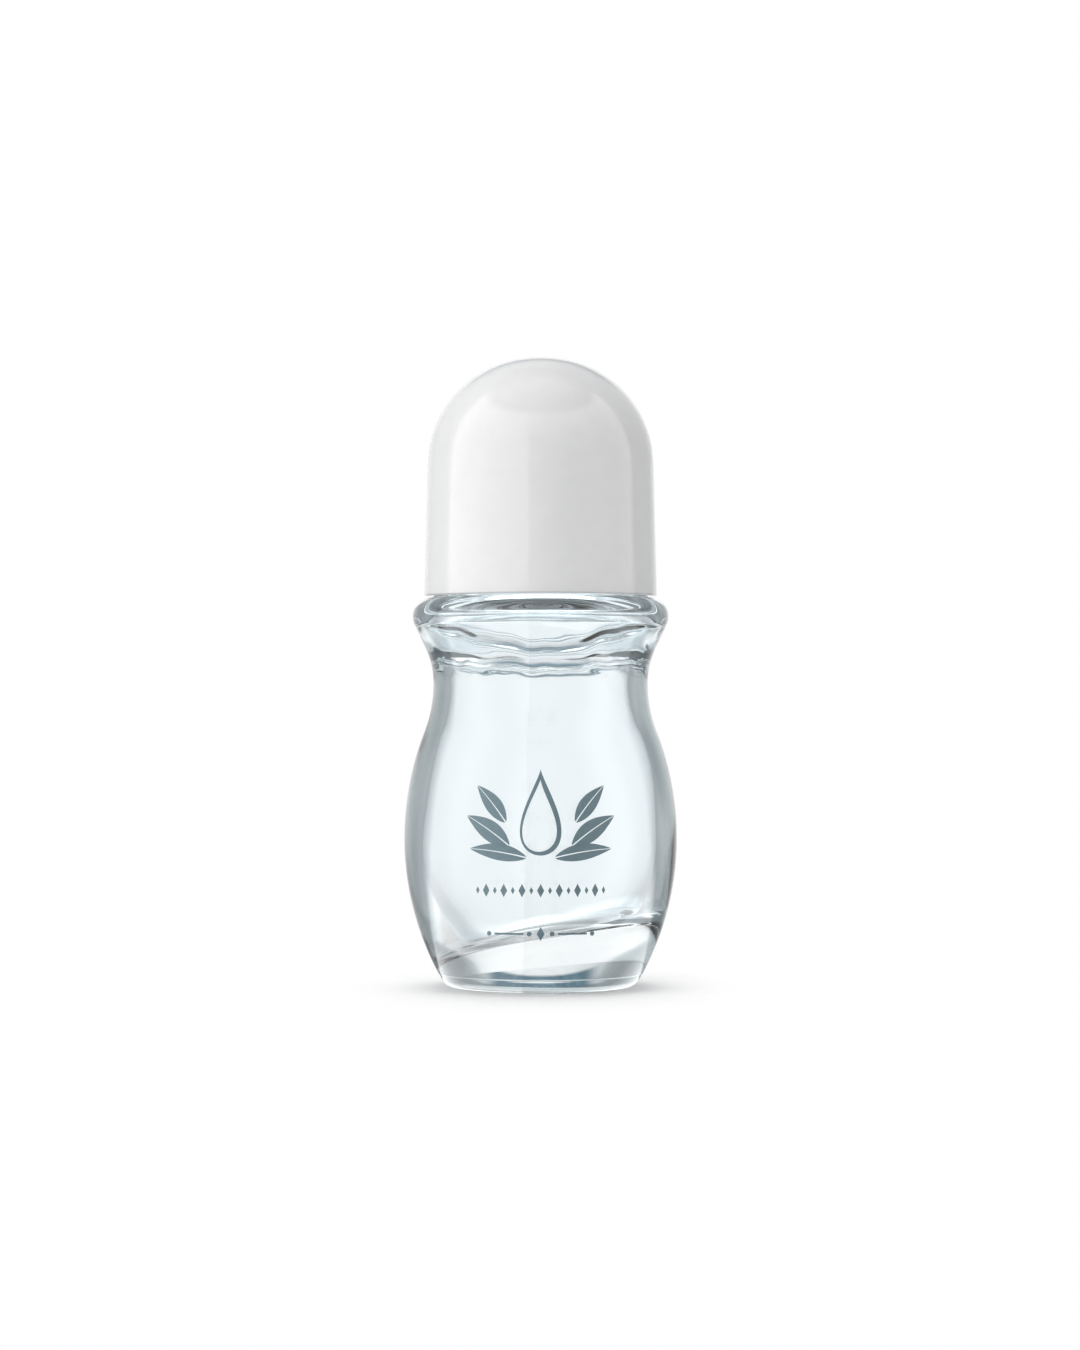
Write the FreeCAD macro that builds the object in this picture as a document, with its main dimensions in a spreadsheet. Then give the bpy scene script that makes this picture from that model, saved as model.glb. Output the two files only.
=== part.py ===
import FreeCAD, Part
import math
import os
import re
import Sketcher

# Roll-on bottle: a waisted glass bottle with a threaded neck, a ball in a plugged-in housing, and a domed cap
# lined with a threaded insert. The axis of the bottle is Z and the bottle stands on the plane at height 0.

# Driving sizes: lengths in millimetres, angles in degrees, shares and turns as plain numbers.
SIZES = {
    # Glass, outside, from the base up
    "bearing_outer_radius": 12.1,
    "bearing_width": 1.9,
    "push_up": 1.55,
    "heel_level": 1.87,
    "heel_radius": 14.67,
    "heel_step": 0.12,
    "belly_level": 21.3,
    "belly_radius": 19.63,
    "waist_level": 43.58,
    "waist_radius": 15.43,
    "belly_share": 0.69,
    "waist_curve": 11.9,
    "flare_angle": 24.9,
    "flare_length": 3.84,
    "lip_curve": 2.69,
    # Glass, inside
    "heel_wall": 5.9,
    "belly_wall": 2.9,
    "waist_wall": 2.85,
    "pinch_rise": 3.4,
    "shoulder_wall": 3.13,
    "shoulder_roof": 2.4,
    "roof_round": 0.8,
    "bore_round": 0.9,
    "floor_level": 6.7,
    "floor_tilt": 12.0,
    "floor_round": 1.0,
    # Glass neck
    "neck_margin": 0.7,
    "neck_wall": 2.3,
    "neck_round": 0.9,
    "finish_height": 12.4,
    "finish_round": 0.6,
    # Screw thread, shared by the neck and the insert
    "thread_depth": 0.9,
    "thread_clearance": 0.2,
    "thread_pitch": 4.0,
    "thread_base": 2.3,
    "thread_crest": 1.1,
    "thread_root_overlap": 0.3,
    "thread_rise": 3.1,
    "neck_thread_turns": 1.5,
    "insert_thread_turns": 1.25,
    # Ball and its housing
    "ball_radius": 11.1,
    "ball_clearance": 0.07,
    "ball_rise": 5.5,
    "cup_wall": 1.15,
    "cup_rise": 3.5,
    "cup_round": 0.5,
    "flange_ledge": 0.5,
    "flange_thickness": 1.2,
    "plug_clearance": 0.15,
    "plug_length": 8.2,
    "plug_wall": 1.2,
    "plug_chamfer": 0.5,
    "rib_clearance": 0.02,
    "rib_spacing": 1.9,
    "rib_width": 0.5,
    "rib_slope": 0.3,
    "throat_radius": 6.2,
    "web_thickness": 1.2,
    "notch_depth": 1.5,
    "notch_width": 1.4,
    # Cap pad
    "pad_gap": 0.12,
    "pad_thickness": 1.9,
    "pad_fit": 0.05,
    "pad_radius": 5.0,
    # Cap insert
    "insert_wall": 0.8,
    "insert_fit": 0.05,
    "insert_setback": 0.65,
    "ledge_gap": 0.3,
    "vault_wall": 1.1,
    "keeper_wall": 0.9,
    "keeper_depth": 1.0,
    # Cap shell
    "cap_gap": 0.25,
    "shell_wall": 1.3,
    "rim_round": 0.35,
    "bead_depth": 0.3,
    "bead_height": 0.5,
    "crown_gap": 1.19,
    "dome_height": 15.63,
    "crown_angle": 14.6,
    "side_draft": 1.49,
}

# Sizes and heights that follow from the driving ones, in the order in which they are worked out.
PLACES = {
    # Outline of the glass: the belly and waist arcs meet on the straight line between the two widest points
    "bearing_inner_radius": "bearing_outer_radius - bearing_width",
    "turn_radius": "belly_radius - belly_share * (belly_radius - waist_radius)",
    "turn_level": "belly_level + belly_share * (waist_level - belly_level)",
    "flare_start_radius": "waist_radius + waist_curve * (1 - cos(flare_angle))",
    "flare_start_level": "waist_level + waist_curve * sin(flare_angle)",
    "flare_end_radius": "flare_start_radius + flare_length * sin(flare_angle)",
    "flare_end_level": "flare_start_level + flare_length * cos(flare_angle)",
    "lip_centre_radius": "flare_end_radius - lip_curve * cos(flare_angle)",
    "lip_centre_level": "flare_end_level + lip_curve * sin(flare_angle)",
    "shoulder_level": "lip_centre_level + lip_curve",
    "inner_belly_radius": "belly_radius - belly_wall",
    "inner_waist_radius": "waist_radius - waist_wall",
    "inner_shoulder_radius": "lip_centre_radius + lip_curve - shoulder_wall",
    "pinch_level": "waist_level + pinch_rise",
    "roof_level": "shoulder_level - shoulder_roof",
    # From the ball outward: every fit takes its radius from the piece inside it
    "seat_radius": "ball_radius + ball_clearance",
    "cup_radius": "seat_radius + cup_wall",
    "flange_radius": "cup_radius + flange_ledge",
    "neck_radius": "cup_radius + neck_margin",
    "bore_radius": "neck_radius - neck_wall",
    "plug_radius": "bore_radius - plug_clearance",
    "rib_radius": "bore_radius - rib_clearance",
    "crest_radius": "neck_radius + thread_depth",
    "insert_tip_radius": "neck_radius + thread_clearance",
    "insert_root_radius": "crest_radius + thread_clearance",
    "side_radius": "insert_root_radius + insert_wall + insert_fit + shell_wall",
    # From the shoulder upward
    "finish_level": "shoulder_level + finish_height",
    "neck_thread_level": "shoulder_level + thread_rise",
    "insert_thread_level": "neck_thread_level + thread_pitch / 2",
    "ball_level": "finish_level + ball_rise",
    "cup_level": "ball_level + cup_rise",
    "flange_level": "finish_level + flange_thickness",
    "plug_level": "finish_level - plug_length",
    "throat_level": "ball_level - sqrt(seat_radius^2 - throat_radius^2)",
    "web_level": "throat_level - web_thickness",
    "pad_under_radius": "ball_radius + pad_gap",
    "pad_over_radius": "pad_under_radius + pad_thickness",
    "vault_radius": "pad_over_radius + pad_fit",
    "ledge_level": "flange_level + ledge_gap",
    "rim_level": "shoulder_level + cap_gap",
    "insert_level": "rim_level + insert_setback",
    "apex_level": "ball_level + vault_radius + vault_wall + crown_gap + shell_wall",
    # Dome of the cap: a crown arc centred on the axis runs smoothly into a corner arc at the crown angle,
    # and the centre of the corner arc is level with the foot of the dome
    "dome_level": "apex_level - dome_height",
    "corner_radius": "(dome_height * sin(crown_angle) - side_radius * (1 - cos(crown_angle)))"
                     " / (sin(crown_angle) + cos(crown_angle) - 1)",
    "corner_centre": "side_radius - corner_radius",
}

NODES = ["glass_bottle", "ball_housing", "roller_ball", "cap_shell", "cap_insert", "cap_pad"]

doc = FreeCAD.newDocument("roll_on_bottle")


def full(text):
    """Write an expression of plain size names as one that names the sheets."""
    def named(match):
        word = match.group(0)
        if word in SIZES:
            return "Sizes." + word
        if word in PLACES:
            return "Places." + word
        return word
    return re.sub(r"[a-z_]+", named, text)


def fill_sheets():
    """Put the driving sizes and the ones that follow from them into two sheets."""
    sizes = doc.addObject("Spreadsheet::Sheet", "Sizes")
    for row, (name, value) in enumerate(SIZES.items(), start=1):
        sizes.set(f"A{row}", name)
        sizes.set(f"B{row}", str(value))
        sizes.setAlias(f"B{row}", name)
    doc.recompute()
    places = doc.addObject("Spreadsheet::Sheet", "Places")
    for row, (name, text) in enumerate(PLACES.items(), start=1):
        places.set(f"A{row}", name)
        places.setAlias(f"B{row}", name)
        places.set(f"B{row}", "=" + full(text))
        doc.recompute()
    return sizes


sheet = fill_sheets()


def number(text):
    """Work out an expression of size names."""
    return float(sheet.evalExpression(full(text)))


def new_body(name):
    body = doc.addObject("PartDesign::Body", name)
    body.Label = name
    return body


def origin_plane(body, role):
    return next(item for item in body.Origin.OriginFeatures if item.Role == role)


class Outline:
    """A closed sketch drawn corner by corner in one plane of a body, every corner held to the sheets."""

    def __init__(self, body, name, role="XZ_Plane"):
        self.sketch = body.newObject("Sketcher::SketchObject", name)
        self.sketch.AttachmentSupport = [(origin_plane(body, role), "")]
        self.sketch.MapMode = "FlatFace"
        self.corners = []
        self.centres = []

    def to(self, across, up, centre_across=None, centre_up=None):
        """Add a corner. One coordinate of a centre makes the side that leads to it an arc."""
        self.corners.append((across, up))
        self.centres.append((centre_across, centre_up))
        return self

    def arc_centre(self, start, end, centre):
        """The point level with the given centre line and equally far from both ends of the side."""
        across, up = centre
        step_across = end[0] - start[0]
        step_up = end[1] - start[1]
        half = (end[0] ** 2 + end[1] ** 2 - start[0] ** 2 - start[1] ** 2) / 2
        if across is not None:
            x = number(across)
            return x, (half - x * step_across) / step_up
        y = number(up)
        return (half - y * step_up) / step_across, y

    def side(self, index):
        """The drawn side that leads to one corner, and which of its ends is that corner."""
        start = [number(text) for text in self.corners[index - 1]]
        end = [number(text) for text in self.corners[index]]
        if self.centres[index] == (None, None):
            return Part.LineSegment(FreeCAD.Vector(*start, 0), FreeCAD.Vector(*end, 0)), 2
        middle = self.arc_centre(start, end, self.centres[index])
        radius = math.dist(middle, start)
        first = math.atan2(start[1] - middle[1], start[0] - middle[0])
        last = math.atan2(end[1] - middle[1], end[0] - middle[0])
        circle = Part.Circle(FreeCAD.Vector(*middle, 0), FreeCAD.Vector(0, 0, 1), radius)
        if (last - first) % math.tau <= math.pi:
            return Part.ArcOfCircle(circle, first, last), 2
        return Part.ArcOfCircle(circle, last, first), 1

    def close(self):
        """Draw the sides, join them and hold every corner and arc centre to its expressions."""
        sides = [self.side(index) for index in range(len(self.corners))]
        self.sketch.addGeometry([side for side, end in sides])
        joins = []
        held = []
        for index, (side, end) in enumerate(sides):
            following = (index + 1) % len(sides)
            next_start = 1 if sides[following][1] == 2 else 2
            joins.append(Sketcher.Constraint("Coincident", index, end, following, next_start))
            points = [(end, self.corners[index]), (3, self.centres[index])]
            for point, place in points:
                for kind, axis, text in zip(("DistanceX", "DistanceY"), (-2, -1), place):
                    if text is None:
                        continue
                    if text == "0":
                        joins.append(Sketcher.Constraint("PointOnObject", index, point, axis))
                    else:
                        held.append((Sketcher.Constraint(kind, -1, 1, index, point, number(text)), text))
        self.sketch.addConstraint(joins + [constraint for constraint, text in held])
        for count, (constraint, text) in enumerate(held, start=len(joins)):
            self.sketch.setExpression(f"Constraints[{count}]", full(text))
        return self.sketch


def revolve(body, outline, name):
    """Turn a closed outline once around the axis of the bottle."""
    turned = body.newObject("PartDesign::Revolution", name)
    turned.Profile = outline
    turned.ReferenceAxis = (outline, ["V_Axis"])
    turned.Angle = 360
    return turned


def thread(body, name, root, tip, level, turns):
    """A ridge of sloping sides wound around the axis, from a root radius to a tip radius."""
    profile = Outline(body, name + "_profile")
    profile.to(root, f"{level} - thread_base / 2")
    profile.to(root, f"{level} + thread_base / 2")
    profile.to(tip, f"{level} + thread_crest / 2")
    profile.to(tip, f"{level} - thread_crest / 2")
    ridge = body.newObject("PartDesign::AdditiveHelix", name)
    ridge.Profile = profile.close()
    ridge.ReferenceAxis = (ridge.Profile[0], ["V_Axis"])
    ridge.Mode = "pitch-turns-angle"
    ridge.setExpression("Pitch", full("thread_pitch"))
    ridge.setExpression("Turns", full(turns))
    return ridge


def cut_volume(before, after):
    """Refuse a cut that took nothing away."""
    if not after.Shape.Volume < before.Shape.Volume:
        raise RuntimeError(after.Name + " cuts nothing")


# Glass bottle
def glass_outside():
    """The full outside of the glass, with the screw thread on the neck."""
    body = new_body("glass_outside")
    line = Outline(body, "glass_outline")
    line.to("0", "push_up")
    line.to("bearing_inner_radius", "0", centre_across="0")
    line.to("bearing_outer_radius", "0")
    line.to("heel_radius - heel_step", "heel_level", centre_across="bearing_outer_radius")
    line.to("heel_radius", "heel_level")
    line.to("belly_radius", "belly_level", centre_up="belly_level")
    line.to("turn_radius", "turn_level", centre_up="belly_level")
    line.to("waist_radius", "waist_level", centre_up="waist_level")
    line.to("flare_start_radius", "flare_start_level", centre_up="waist_level")
    line.to("flare_end_radius", "flare_end_level")
    line.to("lip_centre_radius", "shoulder_level", centre_across="lip_centre_radius")
    line.to("neck_radius + neck_round", "shoulder_level")
    line.to("neck_radius", "shoulder_level + neck_round", centre_across="neck_radius + neck_round")
    line.to("neck_radius", "finish_level - finish_round")
    line.to("neck_radius - finish_round", "finish_level", centre_across="neck_radius - finish_round")
    line.to("0", "finish_level")
    revolve(body, line.close(), "glass_turned")
    doc.recompute()
    ridge = thread(body, "neck_thread", "neck_radius - thread_root_overlap", "crest_radius",
                   "neck_thread_level", "neck_thread_turns")
    doc.recompute()
    # The thread fades out at the two mould seams, where flats touch the root of the neck
    flat = Outline(body, "seam_flat")
    flat.to("neck_radius", "shoulder_level + neck_round")
    flat.to("crest_radius + thread_depth", "shoulder_level + neck_round")
    flat.to("crest_radius + thread_depth", "finish_level - finish_round")
    flat.to("neck_radius", "finish_level - finish_round")
    relief = body.newObject("PartDesign::Pocket", "seam_relief")
    relief.Profile = flat.close()
    relief.Midplane = True
    relief.setExpression("Length", full("2 * crest_radius"))
    doc.recompute()
    cut_volume(ridge, relief)
    other_side = body.newObject("PartDesign::Mirrored", "seam_relief_pair")
    other_side.Originals = [relief]
    other_side.MirrorPlane = (origin_plane(body, "YZ_Plane"), [""])
    body.Tip = other_side
    doc.recompute()
    cut_volume(relief, other_side)
    return body


def glass_cavity():
    """The hollow of the glass: belly, waist, shoulder and bore, with a slanted and rounded floor."""
    body = new_body("glass_cavity")
    line = Outline(body, "cavity_outline")
    line.to("0", "heel_level")
    line.to("heel_radius - heel_wall", "heel_level")
    line.to("inner_belly_radius", "belly_level", centre_up="belly_level")
    line.to("inner_belly_radius - belly_share * (inner_belly_radius - inner_waist_radius)", "turn_level",
            centre_up="belly_level")
    line.to("inner_waist_radius", "waist_level", centre_up="waist_level")
    line.to("inner_waist_radius", "pinch_level")
    line.to("inner_shoulder_radius", "roof_level - roof_round")
    line.to("inner_shoulder_radius - roof_round", "roof_level", centre_across="inner_shoulder_radius - roof_round")
    line.to("bore_radius + bore_round", "roof_level")
    line.to("bore_radius", "roof_level + bore_round", centre_across="bore_radius + bore_round")
    line.to("bore_radius", "finish_level - finish_round")
    line.to("bore_radius + finish_round", "finish_level", centre_across="bore_radius + finish_round")
    line.to("bore_radius + finish_round", "finish_level + finish_round")
    line.to("0", "finish_level + finish_round")
    hollow = revolve(body, line.close(), "cavity_turned")
    doc.recompute()
    wedge = Outline(body, "floor_line")
    wedge.to("0 - belly_radius", "0")
    wedge.to("belly_radius", "0")
    wedge.to("belly_radius", "floor_level + belly_radius * tan(floor_tilt)")
    wedge.to("0 - belly_radius", "floor_level - belly_radius * tan(floor_tilt)")
    floor = body.newObject("PartDesign::Pocket", "slanted_floor")
    floor.Profile = wedge.close()
    floor.Midplane = True
    floor.setExpression("Length", full("2 * belly_radius"))
    doc.recompute()
    cut_volume(hollow, floor)
    flat_faces = [face for face in floor.Shape.Faces if isinstance(face.Surface, Part.Plane)]
    slanted = max(flat_faces, key=lambda face: abs(face.Surface.Axis.x))
    edges = [f"Edge{count}" for count, edge in enumerate(floor.Shape.Edges, start=1)
             if any(edge.isSame(border) for border in slanted.Edges)]
    rounded = body.newObject("PartDesign::Fillet", "rounded_floor")
    rounded.Base = (floor, edges)
    rounded.setExpression("Radius", full("floor_round"))
    doc.recompute()
    return body


def glass_bottle():
    glass = doc.addObject("Part::Cut", "glass_bottle")
    glass.Label = "glass_bottle"
    glass.Base = glass_outside()
    glass.Tool = glass_cavity()
    return glass


# Ball housing
def ball_housing():
    """The plug in the bore, its flange on the glass lip, and the cup that holds the ball past its middle."""
    body = new_body("ball_housing")
    line = Outline(body, "housing_outline")
    line.to("throat_radius", "web_level")
    line.to("throat_radius", "throat_level")
    line.to("sqrt(seat_radius^2 - cup_rise^2)", "cup_level", centre_across="0")
    line.to("cup_radius - cup_round", "cup_level")
    line.to("cup_radius", "cup_level - cup_round", centre_across="cup_radius - cup_round")
    line.to("cup_radius", "flange_level")
    line.to("flange_radius", "flange_level")
    line.to("flange_radius", "finish_level")
    line.to("plug_radius", "finish_level")
    for count in (1, 2, 3):
        rib = f"finish_level - {count} * rib_spacing"
        line.to("plug_radius", f"{rib} + rib_width / 2 + rib_slope")
        line.to("rib_radius", f"{rib} + rib_width / 2")
        line.to("rib_radius", f"{rib} - rib_width / 2")
        line.to("plug_radius", f"{rib} - rib_width / 2 - rib_slope")
    line.to("plug_radius", "plug_level + plug_chamfer")
    line.to("plug_radius - plug_chamfer", "plug_level")
    line.to("plug_radius - plug_wall", "plug_level")
    line.to("plug_radius - plug_wall", "web_level")
    turned = revolve(body, line.close(), "housing_turned")
    doc.recompute()
    # Four notches in the edge of the throat let the contents reach the ball
    notch = Outline(body, "notch_outline", "XY_Plane")
    notch.to("0", "0 - notch_width / 2")
    notch.to("throat_radius + notch_depth", "0 - notch_width / 2")
    notch.to("throat_radius + notch_depth", "notch_width / 2")
    notch.to("0", "notch_width / 2")
    cut = body.newObject("PartDesign::Pocket", "feed_notch")
    cut.Profile = notch.close()
    cut.Type = "ThroughAll"
    cut.Reversed = True
    doc.recompute()
    cut_volume(turned, cut)
    ring = body.newObject("PartDesign::PolarPattern", "feed_notches")
    ring.Originals = [cut]
    ring.Axis = (cut.Profile[0], ["N_Axis"])
    ring.Angle = 360
    ring.Occurrences = 4
    body.Tip = ring
    doc.recompute()
    cut_volume(cut, ring)
    return body


# Roller ball
def roller_ball():
    ball = doc.addObject("Part::Sphere", "roller_ball")
    ball.Label = "roller_ball"
    ball.setExpression("Radius", full("ball_radius"))
    ball.setExpression("Placement.Base.z", full("ball_level"))
    return ball


# Cap
def side_at(level, inward):
    """Radius of the drafted side of the cap at a level, a given distance in from its outer face."""
    return (f"side_radius - corner_radius + (corner_radius - ({inward})) / cos(side_draft)"
            f" + (dome_level - ({level})) * tan(side_draft)")


def dome_foot(inward):
    """Where the side meets the corner arc of the dome, a given distance in from its outer face."""
    return (f"corner_centre + (corner_radius - ({inward})) * cos(side_draft)",
            f"dome_level + (corner_radius - ({inward})) * sin(side_draft)")


def dome_turn(inward):
    """Where the corner arc of the dome meets its crown arc, a given distance in from its outer face."""
    return (f"corner_centre + (corner_radius - ({inward})) * sin(crown_angle)",
            f"dome_level + (corner_radius - ({inward})) * cos(crown_angle)")


def cap_shell():
    """The domed outside of the cap, with a bead at the rim that keeps the insert in."""
    body = new_body("cap_shell")
    line = Outline(body, "shell_outline")
    line.to("0", "apex_level")
    line.to(*dome_turn("0"), centre_across="0")
    line.to(*dome_foot("0"), centre_up="dome_level")
    line.to(side_at("rim_level + rim_round", "0"), "rim_level + rim_round")
    line.to(side_at("rim_level + rim_round", "0") + " - rim_round", "rim_level", centre_up="rim_level + rim_round")
    line.to(side_at("rim_level", "shell_wall"), "rim_level")
    bead_top = "insert_level - insert_fit"
    bead_middle = "insert_level - insert_fit - bead_height / 2"
    bead_foot = "insert_level - insert_fit - bead_height"
    line.to(side_at(bead_foot, "shell_wall"), bead_foot)
    line.to(side_at(bead_middle, "shell_wall + bead_depth"), bead_middle)
    line.to(side_at(bead_top, "shell_wall"), bead_top)
    line.to(*dome_foot("shell_wall"))
    line.to(*dome_turn("shell_wall"), centre_up="dome_level")
    line.to("0", "apex_level - shell_wall", centre_across="0")
    revolve(body, line.close(), "shell_turned")
    return body


def vault_at(radius, inward):
    """Height of the vault over the ball at a radius, a given distance in from its inner face."""
    return f"ball_level + sqrt((vault_radius - ({inward}))^2 - ({radius})^2)"


def cap_insert():
    """The threaded liner of the cap, with a vault over the ball and a ring that keeps the pad."""
    body = new_body("cap_insert")
    keeper_inside = "pad_radius + pad_fit"
    keeper_outside = "pad_radius + pad_fit + keeper_wall"
    line = Outline(body, "insert_outline")
    line.to("0", "ball_level + vault_radius + vault_wall")
    line.to("vault_radius + vault_wall", "ball_level", centre_across="0")
    line.to(side_at("ball_level", "shell_wall + insert_fit"), "ball_level")
    line.to(side_at("insert_level", "shell_wall + insert_fit"), "insert_level")
    line.to("insert_root_radius", "insert_level")
    line.to("insert_root_radius", "ledge_level")
    line.to("vault_radius", "ledge_level")
    line.to("vault_radius", "ball_level")
    line.to(keeper_outside, vault_at(keeper_outside, "0"), centre_up="ball_level")
    line.to(keeper_outside, vault_at(keeper_outside, "keeper_depth"))
    line.to(keeper_inside, vault_at(keeper_inside, "keeper_depth"), centre_up="ball_level")
    line.to(keeper_inside, vault_at(keeper_inside, "0"))
    line.to("0", "ball_level + vault_radius", centre_across="0")
    revolve(body, line.close(), "insert_turned")
    doc.recompute()
    thread(body, "insert_thread", "insert_root_radius + thread_root_overlap", "insert_tip_radius",
           "insert_thread_level", "insert_thread_turns")
    return body


def cap_pad():
    """The soft disc between the vault and the ball, hollow below to sit over the ball."""
    body = new_body("cap_pad")
    line = Outline(body, "pad_outline")
    line.to("0", "ball_level + pad_under_radius")
    line.to("pad_radius", "ball_level + sqrt(pad_under_radius^2 - pad_radius^2)", centre_across="0")
    line.to("pad_radius", "ball_level + sqrt(pad_over_radius^2 - pad_radius^2)")
    line.to("0", "ball_level + pad_over_radius", centre_across="0")
    revolve(body, line.close(), "pad_turned")
    return body


def write_parts():
    """Check every object and write one file for each node."""
    doc.recompute()
    for item in doc.Objects:
        if "Invalid" in item.State or "Error" in item.State:
            raise RuntimeError(item.Name + " did not build")
    os.makedirs("parts", exist_ok=True)
    for name in NODES:
        shape = doc.getObject(name).Shape
        if shape.isNull() or not shape.isValid() or len(shape.Solids) != 1:
            raise RuntimeError(name + " is not one sound solid")
        shape.exportStep(f"parts/{name}.step")


glass_bottle()
ball_housing()
roller_ball()
cap_shell()
cap_insert()
cap_pad()
write_parts()
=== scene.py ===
import math

import bpy
import numpy as np
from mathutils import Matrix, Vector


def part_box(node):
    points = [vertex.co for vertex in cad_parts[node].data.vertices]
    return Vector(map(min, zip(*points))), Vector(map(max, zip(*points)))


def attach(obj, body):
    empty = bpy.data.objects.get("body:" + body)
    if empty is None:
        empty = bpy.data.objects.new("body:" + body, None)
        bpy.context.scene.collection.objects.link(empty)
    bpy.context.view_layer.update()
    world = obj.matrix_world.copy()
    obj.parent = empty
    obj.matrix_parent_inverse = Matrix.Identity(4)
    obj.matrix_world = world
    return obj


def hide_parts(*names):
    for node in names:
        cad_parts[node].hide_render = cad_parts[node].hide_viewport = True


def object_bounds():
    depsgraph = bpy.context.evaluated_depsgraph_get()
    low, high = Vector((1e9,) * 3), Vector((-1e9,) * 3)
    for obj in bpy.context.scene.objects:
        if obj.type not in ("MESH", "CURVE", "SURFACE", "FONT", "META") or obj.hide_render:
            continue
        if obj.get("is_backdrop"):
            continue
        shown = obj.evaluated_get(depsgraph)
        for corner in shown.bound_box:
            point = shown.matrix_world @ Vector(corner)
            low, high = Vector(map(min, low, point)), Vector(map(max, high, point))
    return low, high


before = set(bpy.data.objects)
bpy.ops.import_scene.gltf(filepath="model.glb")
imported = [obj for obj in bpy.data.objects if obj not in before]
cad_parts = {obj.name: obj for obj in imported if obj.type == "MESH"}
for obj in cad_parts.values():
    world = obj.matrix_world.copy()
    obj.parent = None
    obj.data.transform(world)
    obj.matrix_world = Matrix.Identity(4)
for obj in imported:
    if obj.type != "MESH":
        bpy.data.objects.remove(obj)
cad_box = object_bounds()

# Outlines are drawn in millimetres and turned into metres when a mesh is made
MM = 0.001
SEGMENTS = 480


# Drawing
class Path:
    """An outline of (radius, height) points, drawn stretch by stretch in fine steps."""

    STEP = 0.04
    BLUR_STEPS = 40

    def __init__(self, radius, height):
        self.points = [(radius, height)]

    def line(self, radius, height):
        start = self.points[-1]
        count = max(1, round(math.dist(start, (radius, height)) / self.STEP))
        for step in range(1, count + 1):
            self.points.append(between(start, (radius, height), step / count))
        return self

    def arc(self, radius, height, centre_radius=None, centre_height=None):
        """The shorter arc to a point, around a centre of which one coordinate is given."""
        start = self.points[-1]
        half = (radius ** 2 + height ** 2 - start[0] ** 2 - start[1] ** 2) / 2
        if centre_radius is None:
            centre_radius = (half - centre_height * (height - start[1])) / (radius - start[0])
        else:
            centre_height = (half - centre_radius * (radius - start[0])) / (height - start[1])
        first = math.atan2(start[1] - centre_height, start[0] - centre_radius)
        last = math.atan2(height - centre_height, radius - centre_radius)
        sweep = (last - first + math.pi) % math.tau - math.pi
        size = math.hypot(start[0] - centre_radius, start[1] - centre_height)
        count = max(2, round(abs(sweep) * size / self.STEP))
        for step in range(1, count + 1):
            turn = first + sweep * step / count
            place = (centre_radius + size * math.cos(turn), centre_height + size * math.sin(turn))
            self.points.append(place)
        return self

    def rounded(self, reach):
        """Soften every corner over a reach along the outline, and keep both ends where they are."""
        points = np.array(self.points)
        pad = self.BLUR_STEPS
        weights = np.exp(-0.5 * (np.arange(-pad, pad + 1) / (reach / self.STEP)) ** 2)
        weights /= weights.sum()
        before = 2 * points[0] - points[pad:0:-1]
        after = 2 * points[-1] - points[-2:-pad - 2:-1]
        padded = np.vstack([before, points, after])
        smooth = np.column_stack([np.convolve(padded[:, axis], weights, "valid") for axis in (0, 1)])
        smooth[0] = points[0]
        smooth[-1] = points[-1]
        return smooth


def between(start, end, share):
    return start[0] + (end[0] - start[0]) * share, start[1] + (end[1] - start[1]) * share


def rise(value, span):
    """Nothing up to the first end of a span, all from its second end on, and a smooth rise between."""
    share = np.clip((value - span[0]) / (span[1] - span[0]), 0, 1)
    return share * share * (3 - 2 * share)


def fall(value, span):
    return 1 - rise(value, span)


def waves(turn, height, parts):
    """A sum of waves, each with its size, laps around the axis, turns up the wall and shift."""
    return sum(size * np.sin(laps * turn + climb * height + shift) for size, laps, climb, shift in parts)


def thinned(points, bend, step, fine=None, fine_step=None):
    """Keep the points that an outline needs: one at each bend, and none further apart than a step.

    The bend is in degrees. A fine stretch is a first and last place along the outline, between which
    the fine step counts.
    """
    kept = [0]
    turned = 0.0
    run = 0.0
    for index in range(1, len(points) - 1):
        before = points[index] - points[index - 1]
        after = points[index + 1] - points[index]
        run += math.hypot(*before)
        cross = before[0] * after[1] - before[1] * after[0]
        turned += abs(math.degrees(math.atan2(cross, float(before @ after))))
        limit = fine_step if fine and fine[0] < index < fine[1] else step
        if turned >= bend or run >= limit:
            kept.append(index)
            turned = 0.0
            run = 0.0
    kept.append(len(points) - 1)
    return np.array(kept)


def new_mesh(name, corners, faces):
    """A smooth mesh in metres, as an object in the scene."""
    mesh = bpy.data.meshes.new(name)
    mesh.from_pydata(corners, [], faces)
    mesh.polygons.foreach_set("use_smooth", [True] * len(mesh.polygons))
    mesh.update()
    made = bpy.data.objects.new(name, mesh)
    bpy.context.collection.objects.link(made)
    return made


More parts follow.
